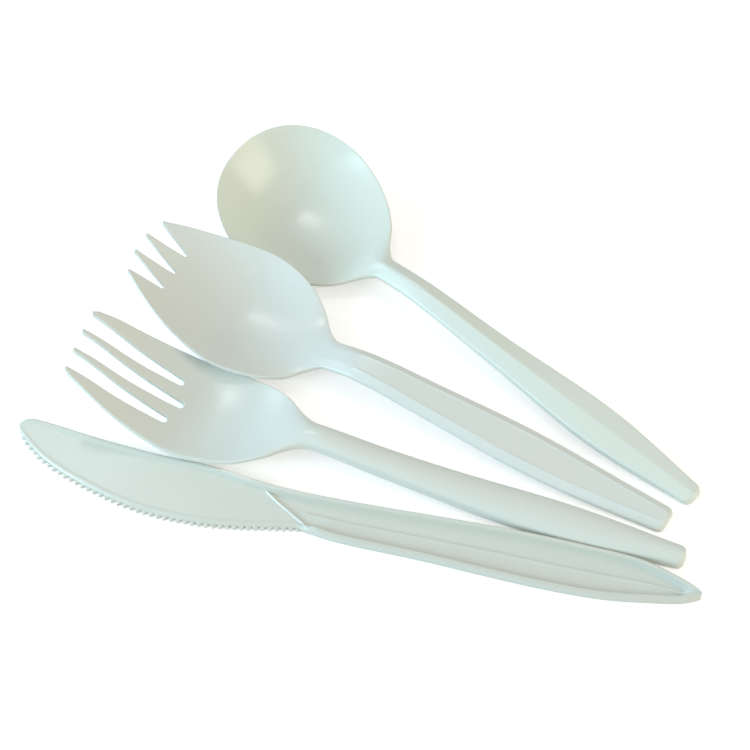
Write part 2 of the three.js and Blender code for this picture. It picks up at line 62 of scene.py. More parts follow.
def mix(a: np.ndarray, b: np.ndarray, share: np.ndarray) -> np.ndarray:
    """Blends two values.

    Args:
        a: The value at share 0.
        b: The value at share 1.
        share: How much of b there is.

    Returns:
        The blend.
    """
    return a + (b - a) * share


def smoothstep(x: np.ndarray, low: float, high: float) -> np.ndarray:
    """Rises smoothly from 0 to 1.

    Args:
        x: Where it is read.
        low: Where it leaves 0.
        high: Where it reaches 1.

    Returns:
        The smooth step at x.
    """
    t = np.clip((x - low) / (high - low), 0, 1)
    return t * t * (3 - 2 * t)


def through(*points: Sequence[float]) -> Curve:
    """A smooth curve through a few points, flat beyond the first and the last.

    Args:
        points: Pairs of place and value, in order of place.

    Returns:
        A function that gives the value at any place.
    """
    places = np.array([point[0] for point in points], dtype=float)
    values = np.array([point[1] for point in points], dtype=float)
    last = len(places) - 1

    def curve(x: np.ndarray) -> np.ndarray:
        """Reads the curve.

        Args:
            x: Where it is read.

        Returns:
            The value at x.
        """
        at = np.clip(np.asarray(x, dtype=float), places[0], places[-1])
        high = np.clip(np.searchsorted(places, at, side="right"), 1, last)
        low = high - 1
        span = places[high] - places[low]
        before = np.where(low > 0, low - 1, high)
        after = np.where(high < last, high + 1, low)
        weight_before = span / 2 / (places[low] - places[before])
        weight_after = span / 2 / (places[after] - places[high])
        p = (at - places[low]) / span
        share_before = weight_before * (-(p**3) + 2 * p**2 - p)
        share_low = (1 + weight_before) * p**3 - (1.5 + 2 * weight_before) * p**2
        share_low += (weight_before - 0.5) * p + 1
        share_high = (-1 - weight_after) * p**3 + (1.5 + weight_after) * p**2 + 0.5 * p
        share_after = weight_after * (p**3 - p**2)
        return (
            share_before * values[before]
            + share_low * values[low]
            + share_high * values[high]
            + share_after * values[after]
        )

    return curve


@dataclass(frozen=True)
class Oval:
    """Half of an oval in plan that narrows to nothing at both ends.

    Attributes:
        widest: Place of the widest section.
        length: Where the oval ends toward the handle.
        half: Half width at the widest section.
        tip: Fullness toward the tip.
        back: Fullness toward the handle.
        cut: How far ahead of x = 0 the oval would end.
    """

    widest: float
    length: float
    half: float
    tip: float
    back: float
    cut: float = 0.0

    def at(self, x: np.ndarray) -> np.ndarray:
        """The half width at a place.

        Args:
            x: Where it is read.

        Returns:
            The half width at x.
        """
        front = x < self.widest
        ahead = (self.widest - x) / (self.widest + self.cut)
        reach = np.where(front, ahead, (x - self.widest) / (self.length - self.widest))
        fullness = np.where(front, self.tip, self.back)
        inside = np.clip(1 - np.clip(reach, 0, 1) ** fullness, 0, 1)
        return self.half * inside ** (1 / fullness)


@dataclass(frozen=True)
class Keel:
    """Height of the middle of a bowl: low at one place and up to the rim at both ends.

    Attributes:
        lowest: Place of the lowest point.
        length: Length of the bowl.
        low: Height of the lowest point.
        tip: Height at the tip.
        neck: Height at the neck.
        sweep: How late the floor turns up toward the tip.
    """

    lowest: float
    length: float
    low: float
    tip: float
    neck: float
    sweep: float = 2.3

    def at(self, x: np.ndarray) -> np.ndarray:
        """The height at a place.

        Args:
            x: Where it is read.

        Returns:
            The height at x.
        """
        front = mix(self.low, self.tip, (np.clip(self.lowest - x, 0, None) / self.lowest) ** self.sweep)
        run = self.length - self.lowest
        back = mix(self.low, self.neck, np.clip((x - self.lowest) / run, 0, 1) ** 2)
        return np.where(x < self.lowest, front, back)


def softened(half: Curve, start: float, reach: float) -> Curve:
    """Rounds the inside corner where a head runs into its handle.

    Args:
        half: The half width that has the corner.
        start: Where the rounding may begin.
        reach: How far along x each place is averaged.

    Returns:
        The rounded half width.
    """

    def rounded(x: np.ndarray) -> np.ndarray:
        """Averages the half width around a place.

        Args:
            x: Where it is read.

        Returns:
            The rounded half width at x.
        """
        x = np.asarray(x, dtype=float)
        spread = reach * smoothstep(x, start, start + 3 * reach)
        steps = (-1, -0.6, -0.2, 0.2, 0.6, 1)
        return sum(half(x + step * spread) for step in steps) / len(steps)

    return rounded


def spaced(points: np.ndarray, pitch: float) -> np.ndarray:
    """Places points evenly along a line.

    Args:
        points: The line, one row a point.
        pitch: About how far apart the new points are.

    Returns:
        The new points, the first and the last kept.
    """
    steps = np.hypot(*np.diff(points, axis=0).T)
    along = np.concatenate([[0], np.cumsum(steps)])
    count = max(2, int(round(along[-1] / pitch)) + 1)
    at = np.linspace(0, along[-1], count)
    return np.column_stack([np.interp(at, along, points[:, i]) for i in (0, 1)])


def arc(centre: Sequence[float], radius: float, start: float, end: float, steps: int) -> np.ndarray:
    """Points on an arc in plan.

    Args:
        centre: Its middle.
        radius: Its radius.
        start: Its first angle in degrees.
        end: Its last angle in degrees.
        steps: How many steps it has.

    Returns:
        The points, one row each.
    """
    angle = np.radians(np.linspace(start, end, steps + 1))
    return np.column_stack([centre[0] + radius * np.cos(angle), centre[1] + radius * np.sin(angle)])


@dataclass(frozen=True)
class Lie:
    """Where a utensil lies in the fan.

    Attributes:
        end: The middle of its handle end.
        heading: The direction of its working end, in degrees.
        pitch: How far the working end is tipped up, in degrees.
        roll: How far the side toward the knife is rolled up, in degrees.
        length: The utensil's length.
    """

    end: tuple[float, float, float]
    heading: float
    pitch: float
    roll: float
    length: float

    def matrix(self) -> Matrix:
        """The move from the flat utensil in millimetres to the pack in metres.

        Returns:
            The matrix of the move.
        """
        angles = (math.radians(self.roll), -math.radians(self.pitch), math.radians(self.heading))
        turn = Euler(angles, "XYZ").to_matrix().to_4x4()
        flat = Matrix.Rotation(math.pi, 4, "Z") @ Matrix.Translation((-self.length, 0, 0))
        place = Matrix.Translation(Vector(PACK_SHIFT) + Vector(self.end))
        return Matrix.Scale(MM, 4) @ place @ turn @ flat


class Profile(Enum):
    """How a handle's upper face runs from its middle to its edge."""

    ROOF = "roof"
    BARREL = "barrel"
    FLAT_TOP = "flat top"


@dataclass(frozen=True)
class Rims:
    """Radii of the rounded edges and the spacing of the mesh.

    Attributes:
        top: Radius of the upper edge.
        foot: Radius of the lower edge.
        grid: Spacing of the points inside a face.
        side: Spacing of the points along an outline.
        steps: Steps in a rounded edge.
        land: How far the flat of a wall's foot stops short of the wall's inner face.
        lean: How far the inner face has moved in where it leaves the foot.
        lift: How far above the foot that is.
        under: Where the underside begins, as a share of the wall's thickness.
    """

    top: float = 0.42
    foot: float = 0.22
    grid: float = 0.8
    side: float = 0.65
    steps: int = 4
    land: float = 0.1
    lean: float = 0.04
    lift: float = 0.12
    under: float = 1.25


def inside(points: np.ndarray, ring: np.ndarray) -> np.ndarray:
    """Tests which points lie inside a closed ring.

    Args:
        points: The points, one row each.
        ring: The ring's corners in order.

    Returns:
        True for each point inside.
    """
    following = np.roll(ring, -1, axis=0)
    result = np.zeros(len(points), dtype=bool)
    for (ax, ay), (bx, by) in zip(ring, following):
        if ay == by:
            continue
        crosses = (ay > points[:, 1]) != (by > points[:, 1])
        result ^= crosses & (points[:, 0] < (bx - ax) * (points[:, 1] - ay) / (by - ay) + ax)
    return result


def filled(ring: np.ndarray, lines: Sequence[np.ndarray], grid: float) -> tuple[np.ndarray, list]:
    """Fills a ring with small triangles.

    Args:
        ring: The ring's corners in order.
        lines: Lines inside the ring that the triangles follow.
        grid: Spacing of the points inside.

    Returns:
        The points, the ring's first, and the triangles.
    """
    clearance = 0.62 * grid
    low, high = ring.min(axis=0), ring.max(axis=0)
    across = np.arange(math.ceil(low[1] / grid), math.floor(high[1] / grid) + 1) * grid
    along = np.arange(low[0], high[0] + grid, grid)
    x, y = np.meshgrid(along, across)
    points = np.column_stack([x.ravel(), y.ravel()])
    points = points[inside(points, ring)]
    for other in [ring, *lines]:
        gap = np.full(len(points), np.inf)
        for corner in other:
            gap = np.minimum(gap, np.hypot(*(points - corner).T))
        points = points[gap > clearance]
    corners = [ring]
    edges = []
    count = len(ring)
    for line in lines:
        edges += [(count + i, count + i + 1) for i in range(len(line) - 1)]
        corners.append(line)
        count += len(line)
    corners.append(points)
    vectors = [Vector(corner) for corner in np.concatenate(corners)]
    result = delaunay_2d_cdt(vectors, edges, [list(range(len(ring)))], 1, 1e-7, True)
    places, _, faces, origins = result[:4]
    middles = np.array([sum((places[i] for i in face), Vector((0, 0))) / len(face) for face in faces])
    faces = [face for face, within in zip(faces, inside(middles, ring)) if within]
    number = {}
    extra = []
    for index, origin in enumerate(origins):
        on_ring = [i for i in origin if i < len(ring)]
        if on_ring:
            number[index] = on_ring[0]
        else:
            number[index] = len(ring) + len(extra)
            extra.append(places[index])
    triangles = [[number[i] for i in face] for face in faces]
    inner = np.array([tuple(place) for place in extra]).reshape(-1, 2)
    return np.concatenate([ring, inner]), triangles


def banded(count: int, layers: int) -> list[list[int]]:
    """The faces between closed rings of points that follow one another.

    Args:
        count: How many points a ring has.
        layers: How many rings there are.

    Returns:
        The faces.
    """
    faces = []
    for layer in range(layers - 1):
        first = layer * count
        for i in range(count):
            j = (i + 1) % count
            faces.append([first + i, first + j, first + count + j, first + count + i])
    return faces


def linked(name: str, data: bpy.types.ID) -> bpy.types.Object:
    """Makes an object and puts it in the scene.

    Args:
        name: The object's name.
        data: Its mesh, curve, camera or light.

    Returns:
        The object.
    """
    made = bpy.data.objects.new(name, data)
    bpy.context.scene.collection.objects.link(made)
    return made


def wire(made: bpy.types.Node, inputs: dict[str | int, object]) -> None:
    """Sets the inputs of a node.

    Args:
        made: The node.
        inputs: For each input, by name or number, its value or the output that feeds it.
    """
    for key, value in inputs.items():
        if isinstance(value, bpy.types.NodeSocket):
            made.id_data.links.new(value, made.inputs[key])
        else:
            made.inputs[key].default_value = value


def add_node(tree: bpy.types.NodeTree, kind: str, inputs: dict, **options: str) -> bpy.types.Node:
    """Adds a node to a tree.

    Args:
        tree: The tree.
        kind: The node's type.
        inputs: For each input, by name or number, its value or the output that feeds it.
        options: The node's own settings.

    Returns:
        The node.
    """
    made = tree.nodes.new(kind)
    for option, value in options.items():
        setattr(made, option, value)
    wire(made, inputs)
    return made


def finished(name: str, points: np.ndarray, faces: list, lie: Lie) -> bpy.types.Object:
    """Makes an object with smooth shading, laid in its place.

    Args:
        name: The object's name.
        points: Its points in millimetres, lying flat.
        faces: Its faces.
        lie: Where it lies.

    Returns:
        The object.
    """
    mesh = bpy.data.meshes.new(name)
    mesh.from_pydata([tuple(point) for point in points], [], faces)
    mesh.transform(lie.matrix())
    form = bmesh.new()
    form.from_mesh(mesh)
    bmesh.ops.remove_doubles(form, verts=form.verts, dist=1e-6)
    bmesh.ops.recalc_face_normals(form, faces=form.faces)
    open_edges = sum(1 for edge in form.edges if not edge.is_manifold)
    form.to_mesh(mesh)
    form.free()
    mesh.shade_smooth()
    log.info("%s: %d faces, %d open edges", name, len(mesh.polygons), open_edges)
    made = linked(name, mesh)
    weighted = made.modifiers.new("even shading", "WEIGHTED_NORMAL")
    weighted.mode = "FACE_AREA"
    weighted.weight = 50
    return settled(made)


def settled(made: bpy.types.Object) -> bpy.types.Object:
    """Replaces an object's mesh by what its modifiers make of it.

    Args:
        made: The object with its modifiers.

    Returns:
        The same object without modifiers.
    """
    graph = bpy.context.evaluated_depsgraph_get()
    shaped = bpy.data.meshes.new_from_object(made.evaluated_get(graph), depsgraph=graph)
    made.modifiers.clear()
    if made.type == "MESH":
        made.data = shaped
        return made
    name = made.name
    bpy.data.objects.remove(made)
    solid = linked(name, shaped)
    return solid


@dataclass(frozen=True)
class Tines:
    """A row of tines.

    Attributes:
        count: How many there are.
        length: From the tips to the roots of the slots.
        pitch: From one to the next.
        root: Width of a slot at its root.
        mouth: Width of a slot at the tips.
        tip: Place of the inner tips.
        drop: How far the outer tips lie behind the inner ones.
        root_step: How much shorter the outer slots are.
    """

    count: int
    length: float
    pitch: float
    root: float
    mouth: float
    tip: float
    drop: float
    root_step: float = 0.0


@dataclass
class Moulding:
    """A thin moulded utensil with a dished head and a handle that is an open channel below.

    Its subclasses give the sizes and the curves along x.

    Attributes:
        name: The piece's name.
        length: The utensil's length.
        shell: Thickness of the plastic.
        profile: Form of the handle's upper face.
        tines: The tines, where it has some.
        wall: Thickness of a handle's walls.
        lean: How far the walls lean out for each millimetre down.
        corner: Radius in plan of the corners at the handle end.
        bead: Height of the thin bead along the creases of a flat top.
        bead_half: Half width of that bead.
        bowl_form: How flat the floor of the head is from side to side.
        rims: The rounded edges and the spacing of the mesh.
    """

    name: str = "moulding"
    length: float = 0.0
    shell: float = 1.2
    profile: Profile = Profile.ROOF
    tines: Tines | None = None
    wall: float = 1.1
    lean: float = math.tan(math.radians(3))
    corner: float = 1.6
    bead: float = 0.11
    bead_half: float = 0.17
    bowl_form: float = 2.2
    rims: Rims = Rims()

    def plain_half_width(self, x: np.ndarray) -> np.ndarray:
        """The half width at x, before the corners of the handle end are rounded.

        Args:
            x: Where it is read.

        Returns:
            The half width.
        """
        raise NotImplementedError

    def edge(self, x: np.ndarray) -> np.ndarray:
        """The height of the outline.

        Args:
            x: Where it is read.

        Returns:
            The height.
        """
        raise NotImplementedError

    def rise(self, x: np.ndarray) -> np.ndarray:
        """How far the middle stands above the outline, negative in a bowl.

        Args:
            x: Where it is read.

        Returns:
            The rise.
        """
        raise NotImplementedError

    def depth(self, x: np.ndarray) -> np.ndarray:
        """How far the outer wall reaches below the outline.

        Args:
            x: Where it is read.

        Returns:
            The depth.
        """
        raise NotImplementedError

    def handle(self, x: np.ndarray) -> np.ndarray:
        """The share of handle form, 0 in the head and 1 in the handle.

        Args:
            x: Where it is read.

        Returns:
            The share.
        """
        raise NotImplementedError

    def crease(self, x: np.ndarray) -> np.ndarray:
        """The share of the half width where a flat top turns down.

        Args:
            x: Where it is read.

        Returns:
            The share.
        """
        return np.full_like(np.asarray(x, dtype=float), 0.5)

    def half_width(self, x: np.ndarray) -> np.ndarray:
        """The half width, with the corners of the handle end rounded.

        Args:
            x: Where it is read.

        Returns:
            The half width.
        """
        into = np.clip((x - (self.length - self.corner)) / self.corner, 0, 1)
        return self.plain_half_width(x) - self.corner * (1 - np.sqrt(1 - into**2))

    def top(self, x: np.ndarray, y: np.ndarray) -> np.ndarray:
        """The height of the upper face.

        Args:
            x: Place along the utensil.
            y: Place across it.

        Returns:
            The height.
        """
        share = np.clip(np.abs(y) / np.maximum(self.half_width(x), 0.05), 0, 1)
        bowl = 1 - share**self.bowl_form
        if self.profile is Profile.ROOF:
            blunt = 0.02
            form = 1 + blunt - np.sqrt(share**2 + blunt**2)
        elif self.profile is Profile.BARREL:
            form = np.sqrt(1 - share**2)
        else:
            blunt = 0.03
            slope = (1 - share) / (1 - self.crease(x))
            form = (slope + 1 - np.sqrt((slope - 1) ** 2 + blunt**2)) / 2
            off = (share - self.crease(x)) * self.half_width(x)
            fade = smoothstep(x, self.length - 3, self.length - 1.5)
            form += self.bead * np.exp(-((off / self.bead_half) ** 2)) * (1 - fade)
        return self.edge(x) + self.rise(x) * mix(bowl, form, self.handle(x))

    def bottom(self, x: np.ndarray, y: np.ndarray) -> np.ndarray:
        """The height of the lower face inside the walls.

        Args:
            x: Place along the utensil.
            y: Place across it.

        Returns:
            The height.
        """
        step = 0.2
        fall = (self.top(x, np.abs(y) - step) - self.top(x, np.abs(y))) / step
        return self.top(x, y) - self.shell * np.hypot(1, np.clip(fall, -1, 1))

    def outline(self) -> np.ndarray:
        """The plan outline, anticlockwise.

        Returns:
            The points, one row each.
        """
        pitch = self.rims.side
        end = self.length
        fine = np.linspace(0, 1, 400)
        end_run = 2
        if self.tines:
            tips = self.tined_tips()
            x = mix(tips[-1][0], end, fine)
        else:
            x = end * (1 - np.cos(fine * math.pi / 2))
        x = np.concatenate([x[x < end - end_run], np.linspace(end - end_run, end, 60)])
        side = spaced(np.column_stack([x, self.half_width(x)]), pitch)
        close = spaced(np.array([side[-1], (end, 0.0)]), pitch)[1:]
        upper = np.concatenate([tips, side[1:], close] if self.tines else [side, close])
        loop = np.concatenate([upper, upper[::-1] * (1, -1)])
        keep = np.hypot(*(loop - np.roll(loop, 1, axis=0)).T) > 1e-4
        return loop[keep][::-1]

    def tined_tips(self) -> np.ndarray:
        """Half of the outline of the tines, from the middle slot to the outer tip.

        Returns:
            The points, one row each.
        """
        tines = self.tines
        tip = (tines.pitch - tines.mouth) / 2
        parts = []
        for i in range(tines.count // 2):
            drop = tines.tip + (tines.drop if i == tines.count // 2 - 1 else 0)
            slot = i * tines.pitch
            end = tines.length - tines.root / 2 - (tines.root_step if i else 0)
            first = 0 if i == 0 else -90
            root = arc((end, slot), tines.root / 2, first, 90, 4 if i == 0 else 8)
            middle = slot + tines.pitch / 2
            cap = arc((drop + tip, middle), tip, -90, -270, 12)
            flank = spaced(np.array([root[-1], cap[0]]), self.rims.side)[1:-1]
            parts += [root, flank, cap]
            if i + 1 < tines.count // 2:
                after = tines.length - tines.root / 2 - tines.root_step
                following = (after, slot + tines.pitch - tines.root / 2)
                parts.append(spaced(np.array([cap[-1], following]), self.rims.side)[1:-1])
        return np.concatenate(parts)

    def crease_lines(self) -> list[np.ndarray]:
        """The lines that the triangles of the upper face follow.

        Returns:
            The lines.
        """
        x = np.linspace(self.length * 0.42, self.length - 1.4, 110)
        middle = self.crease(x) * self.half_width(x)
        gap = 0.13
        if self.profile is Profile.ROOF:
            rows = (np.full_like(x, gap), np.full_like(x, -gap))
        elif self.profile is Profile.FLAT_TOP:
            steps = (-0.3, -gap, 0, gap, 0.3)
            rows = [side * (middle + step) for side in (1, -1) for step in steps]
        else:
            rows = ()
        return [np.column_stack([x, y]) for y in rows]

    def build(self, lie: Lie) -> bpy.types.Object:
        """Makes the utensil as one closed mesh.

        Args:
            lie: Where it lies.

        Returns:
            The object.
        """
        rims = self.rims
        loop = self.outline()
        ahead = np.roll(loop, -1, axis=0) - np.roll(loop, 1, axis=0)
        ahead /= np.hypot(*ahead.T)[:, None]
        inward = np.column_stack([-ahead[:, 1], ahead[:, 0]])
        x = loop[:, 0]
        height = self.top(x, loop[:, 1])
        foot = mix(height, self.edge(x), self.handle(x)) - self.depth(x)
        lip = np.minimum(mix(self.wall / 3, self.wall, self.handle(x)), 0.5 * self.half_width(x) + 0.05)
        rings = []
        for angle in np.linspace(0, math.pi / 2, rims.steps + 1):
            place = loop + inward * rims.top * (1 - math.sin(angle))
            drop = rims.top * (1 - math.cos(angle))
            rings.append(np.column_stack([place, self.top(*place.T) - drop]))
        draft = (self.depth(x) * self.lean)[:, None]
        for angle in np.linspace(0, math.pi / 2, rims.steps):
            place = loop + inward * (rims.foot * (1 - math.cos(angle)) - draft)
            rings.append(np.column_stack([place, foot + rims.foot * (1 - math.sin(angle))]))
        place = loop + inward * (lip - rims.land)[:, None]
        rings.append(np.column_stack([place, foot]))
        place = loop + inward * (lip + rims.lean)[:, None]
        below = self.bottom(*place.T) + 0.05
        rings.append(np.column_stack([place, np.minimum(foot + rims.lift, below)]))
        place = loop + inward * (rims.under * lip)[:, None]
        rings.append(np.column_stack([place, self.bottom(*place.T)]))
        count = len(loop)
        points = list(np.concatenate(rings))
        faces = banded(count, len(rings))
        caps = (
            (rings[0], 0, self.top, self.crease_lines()),
            (rings[-1], (len(rings) - 1) * count, self.bottom, []),
        )
        for ring, first, surface, lines in caps:
            flat, triangles = filled(ring[:, :2], lines, rims.grid)
            extra = flat[count:]
            start = len(points)
            points += list(np.column_stack([extra, surface(*extra.T)]))
            for face in triangles:
                faces.append([first + i if i < count else start + i - count for i in face])
        return finished(self.name, np.array(points), faces, lie)


@dataclass
class Spoon(Moulding):
    """The soup spoon: a round bowl and a roofed handle.

    Attributes:
        bowl_length: Length of the bowl.
        bowl_width: Greatest width of the bowl.
        widest: Place of that width.
        neck_width: Width of the neck.
        neck_fillet: How far the corner between head and neck is rounded.
        handle_width: Greatest width of the handle.
        handle_widest: Place of that width.
        handle_depth: How far the walls reach below the outline at the handle end.
        end_width: Width at the handle end.
        ridge: How far the ridge stands above the outline at the neck.
        end_ridge: How far it does at the handle end.
        tip_height: Height of the outline at the tip.
        heights: Places and heights of the outline from there to the handle end.
    """

    name: str = "spoon_moulding"
    length: float = 158.5
    bowl_length: float = 50
    bowl_width: float = 44
    widest: float = 22
    neck_width: float = 6.6
    neck_fillet: float = 3
    handle_width: float = 11.3
    handle_widest: float = 128
    handle_depth: float = 2.3
    end_width: float = 5.6
    ridge: float = 2
    end_ridge: float = 0.7
    tip_height: float = 16.6
    heights: tuple[tuple[float, float], ...] = (
        (22, 10),
        (40, 5.9),
        (46, 5.3),
        (54, 6.8),
        (64, 8),
        (90, 6.4),
        (120, 4.4),
    )

    def __post_init__(self) -> None:
        """Sets up the curves along the spoon."""
        neck = self.bowl_length + 8
        run = self.length - neck
        handle_half = through(
            (neck, self.neck_width / 2),
            (neck + 0.35 * run, 0.37 * self.handle_width),
            (self.handle_widest, self.handle_width / 2),
            (self.length, self.end_width / 2),
        )

        bowl = Oval(self.widest, self.bowl_length, self.bowl_width / 2, 2.15, 1.8)

        def plain(x: np.ndarray) -> np.ndarray:
            """The half width, with a sharp corner at the neck."""
            return np.maximum(bowl.at(x), np.where(x > self.widest, handle_half(x), 0))

        self._half = softened(plain, self.widest, self.neck_fillet)
        self._edge = through((0, self.tip_height), *self.heights, (self.length, self.handle_depth))
        self._ridge = through((neck, self.ridge), (self.length, self.end_ridge))
        self._neck = neck
        end = float(self._edge(self.bowl_length))
        self._keel = Keel(self.widest, self.bowl_length, self.shell, self.tip_height, end)

    def plain_half_width(self, x: np.ndarray) -> np.ndarray:
        """The half width, before the corners of the handle end are rounded."""
        return self._half(x)

    def edge(self, x: np.ndarray) -> np.ndarray:
        """The height of the outline."""
        return self._edge(x)

    def handle(self, x: np.ndarray) -> np.ndarray:
        """The share of handle form, 0 in the head and 1 in the handle."""
        return smoothstep(x, self.bowl_length - 7, self.bowl_length + 3)

    def rise(self, x: np.ndarray) -> np.ndarray:
        """How far the middle stands above the outline, negative in the head."""
        dish = np.maximum(0, self._edge(x) - self._keel.at(x))
        return self._ridge(x) * self.handle(x) - dish * (1 - self.handle(x))

    def depth(self, x: np.ndarray) -> np.ndarray:
        """How far the outer wall reaches below the outline."""
        return mix(self.shell, self.handle_depth, smoothstep(x, self._neck - 6, self._neck + 50))


@dataclass
class Spork(Moulding):
    """The spork: a bowl with short tines and a flat-topped handle with bevels.

    Attributes:
        bowl_length: Length of the bowl.
        bowl_width: Greatest width of the bowl.
        oval_cut: How far ahead of the tip the bowl's oval would end.
        widest: Place of that width.
        neck_width: Width of the neck.
        neck_fillet: How far the corner between head and neck is rounded.
        handle_width: Greatest width of the handle.
        handle_widest: Place of that width.
        handle_depth: How far the walls reach below the outline at the handle end.
        end_width: Width at the handle end.
        bevel_width: Width of the bevels along the handle.
        bevel_height: How far the flat top stands above the outline.
        tip_height: Height of the outline at the tip.
        heights: Places and heights of the outline from there to the handle end.
    """

    name: str = "spork_moulding"
    length: float = 158
    profile: Profile = Profile.FLAT_TOP
    bowl_length: float = 56
    bowl_width: float = 37.8
    oval_cut: float = 8
    widest: float = 31
    neck_width: float = 8.8
    neck_fillet: float = 3
    handle_width: float = 12.4
    handle_widest: float = 118
    handle_depth: float = 1.2
    end_width: float = 7.6
    bevel_width: float = 2.2
    bevel_height: float = 1.2
    tines: Tines = Tines(4, 10, 5.9, 0.9, 4.7, -0.5, 1.6)
    tip_height: float = 17
    heights: tuple[tuple[float, float], ...] = (
        (7, 14.2),
        (14, 11.6),
        (22, 9.8),
        (31, 8.2),
        (40, 6.6),
        (46, 5.1),
        (52, 3.6),
        (59, 5.4),
        (68, 7.1),
        (88, 5.9),
        (118, 3.3),
        (138, 1.8),
    )

    def __post_init__(self) -> None:
        """Sets up the curves along the spork."""
        neck = self.bowl_length + 7
        run = self.length - neck
        handle_half = through(
            (neck, self.neck_width / 2),
            (neck + 0.3 * run, 0.44 * self.handle_width),
            (self.handle_widest, self.handle_width / 2),
            (self.length, self.end_width / 2),
        )
        bowl = Oval(self.widest, self.bowl_length, self.bowl_width / 2, 1.5, 1.9, self.oval_cut)

        def plain(x: np.ndarray) -> np.ndarray:
            """The half width, with a sharp corner at the neck."""
            return np.maximum(bowl.at(x), np.where(x > self.widest, handle_half(x), 0))

        self._half = softened(plain, self.widest, self.neck_fillet)
        self._edge = through((0, self.tip_height), *self.heights, (self.length, self.handle_depth))
        end = float(self._edge(self.bowl_length))
        self._keel = Keel(self.widest, self.bowl_length, self.shell, self.tip_height, end, 1.6)

    def plain_half_width(self, x: np.ndarray) -> np.ndarray:
        """The half width, before the corners of the handle end are rounded."""
        return self._half(x)

    def edge(self, x: np.ndarray) -> np.ndarray:
        """The height of the outline."""
        return self._edge(x)

    def handle(self, x: np.ndarray) -> np.ndarray:
        """The share of handle form, 0 in the head and 1 in the handle."""
        return smoothstep(x, self.bowl_length - 8, self.bowl_length + 8)

    def crease(self, x: np.ndarray) -> np.ndarray:
        """The share of the half width where the flat top turns down."""
        return mix(0.5, 1 - self.bevel_width / self._half(x), self.handle(x))

    def rise(self, x: np.ndarray) -> np.ndarray:
        """How far the middle stands above the outline, negative in the head."""
        dish = np.maximum(0, self._edge(x) - self._keel.at(x))
        return self.bevel_height * self.handle(x) - dish * (1 - self.handle(x))

    def depth(self, x: np.ndarray) -> np.ndarray:
        """How far the outer wall reaches below the outline."""
        return np.full_like(np.asarray(x, dtype=float), self.handle_depth)


@dataclass
class Fork(Moulding):
    """The fork: four long tines and a handle with a smooth barrel top.

    Attributes:
        head_length: Length of the head with its tines.
        head_width: Greatest width of the head.
        head_dish: How far the middle of the head lies below its outline.
        oval_cut: How far ahead of the tip the head's oval would end.
        widest: Place of that width.
        neck_width: Width of the neck.
        neck_fillet: How far the corner between head and neck is rounded.
        handle_width: Greatest width of the handle.
        handle_widest: Place of that width.
        handle_depth: How far the walls reach below the outline at the handle end.
        end_width: Width at the handle end.
        barrel: How far the middle of the handle stands above the outline.
        tip_height: Height of the outline at the tip.
        heights: Places and heights of the outline from there to the handle end.
    """

    name: str = "fork_moulding"
    length: float = 167.7
    shell: float = 1.3
    profile: Profile = Profile.BARREL
    head_length: float = 64
    head_width: float = 30.2
    head_dish: float = 1.5
    oval_cut: float = 13
    widest: float = 34
    neck_width: float = 7.2
    neck_fillet: float = 3.5
    handle_width: float = 10.7
    handle_widest: float = 136
    handle_depth: float = 1.8
    end_width: float = 5.6
    barrel: float = 2.2
    tines: Tines = Tines(4, 30.4, 6.25, 2.1, 4.9, 1.5, 0.3, 2.2)
    tip_height: float = 21.2
    heights: tuple[tuple[float, float], ...] = (
        (7, 17.2),
        (15, 11.4),
        (23, 6.9),
        (31, 3.9),
        (38, 3.4),
        (48, 4.3),
        (56, 6.5),
        (64, 7.5),
        (87, 4.8),
        (112, 2.4),
        (135, 1.8),
    )

    def __post_init__(self) -> None:
        """Sets up the curves along the fork."""
        neck = self.head_length + 8
        handle_half = through(
            (neck, self.neck_width / 2),
            (neck + 20, self.neck_width / 2 + 0.5),
            (self.handle_widest, self.handle_width / 2),
            (self.length, self.end_width / 2),
        )
        self._head = Oval(self.widest, self.head_length, self.head_width / 2, 1.8, 2, self.oval_cut)

        def plain(x: np.ndarray) -> np.ndarray:
            """The half width, with a sharp corner at the neck."""
            return np.maximum(self._head.at(x), np.where(x > self.widest, handle_half(x), 0))

        self._half = softened(plain, self.widest, self.neck_fillet)
        self._edge = through((0, self.tip_height), *self.heights, (self.length, self.handle_depth))

    def plain_half_width(self, x: np.ndarray) -> np.ndarray:
        """The half width, before the corners of the handle end are rounded."""
        return self._half(x)

    def edge(self, x: np.ndarray) -> np.ndarray:
        """The height of the outline."""
        return self._edge(x)

    def handle(self, x: np.ndarray) -> np.ndarray:
        """The share of handle form, 0 in the head and 1 in the handle."""
        return smoothstep(x, self.head_length - 12, self.head_length + 6)

    def rise(self, x: np.ndarray) -> np.ndarray:
        """How far the middle stands above the outline, negative in the head."""
        dish = mix(0.4, self.head_dish, smoothstep(x, 20, 40)) * self._head.at(x) / (self.head_width / 2)
        return self.barrel * self.handle(x) - dish * (1 - self.handle(x))

    def depth(self, x: np.ndarray) -> np.ndarray:
        """How far the outer wall reaches below the outline."""
        return mix(self.shell, self.handle_depth, self.handle(x))


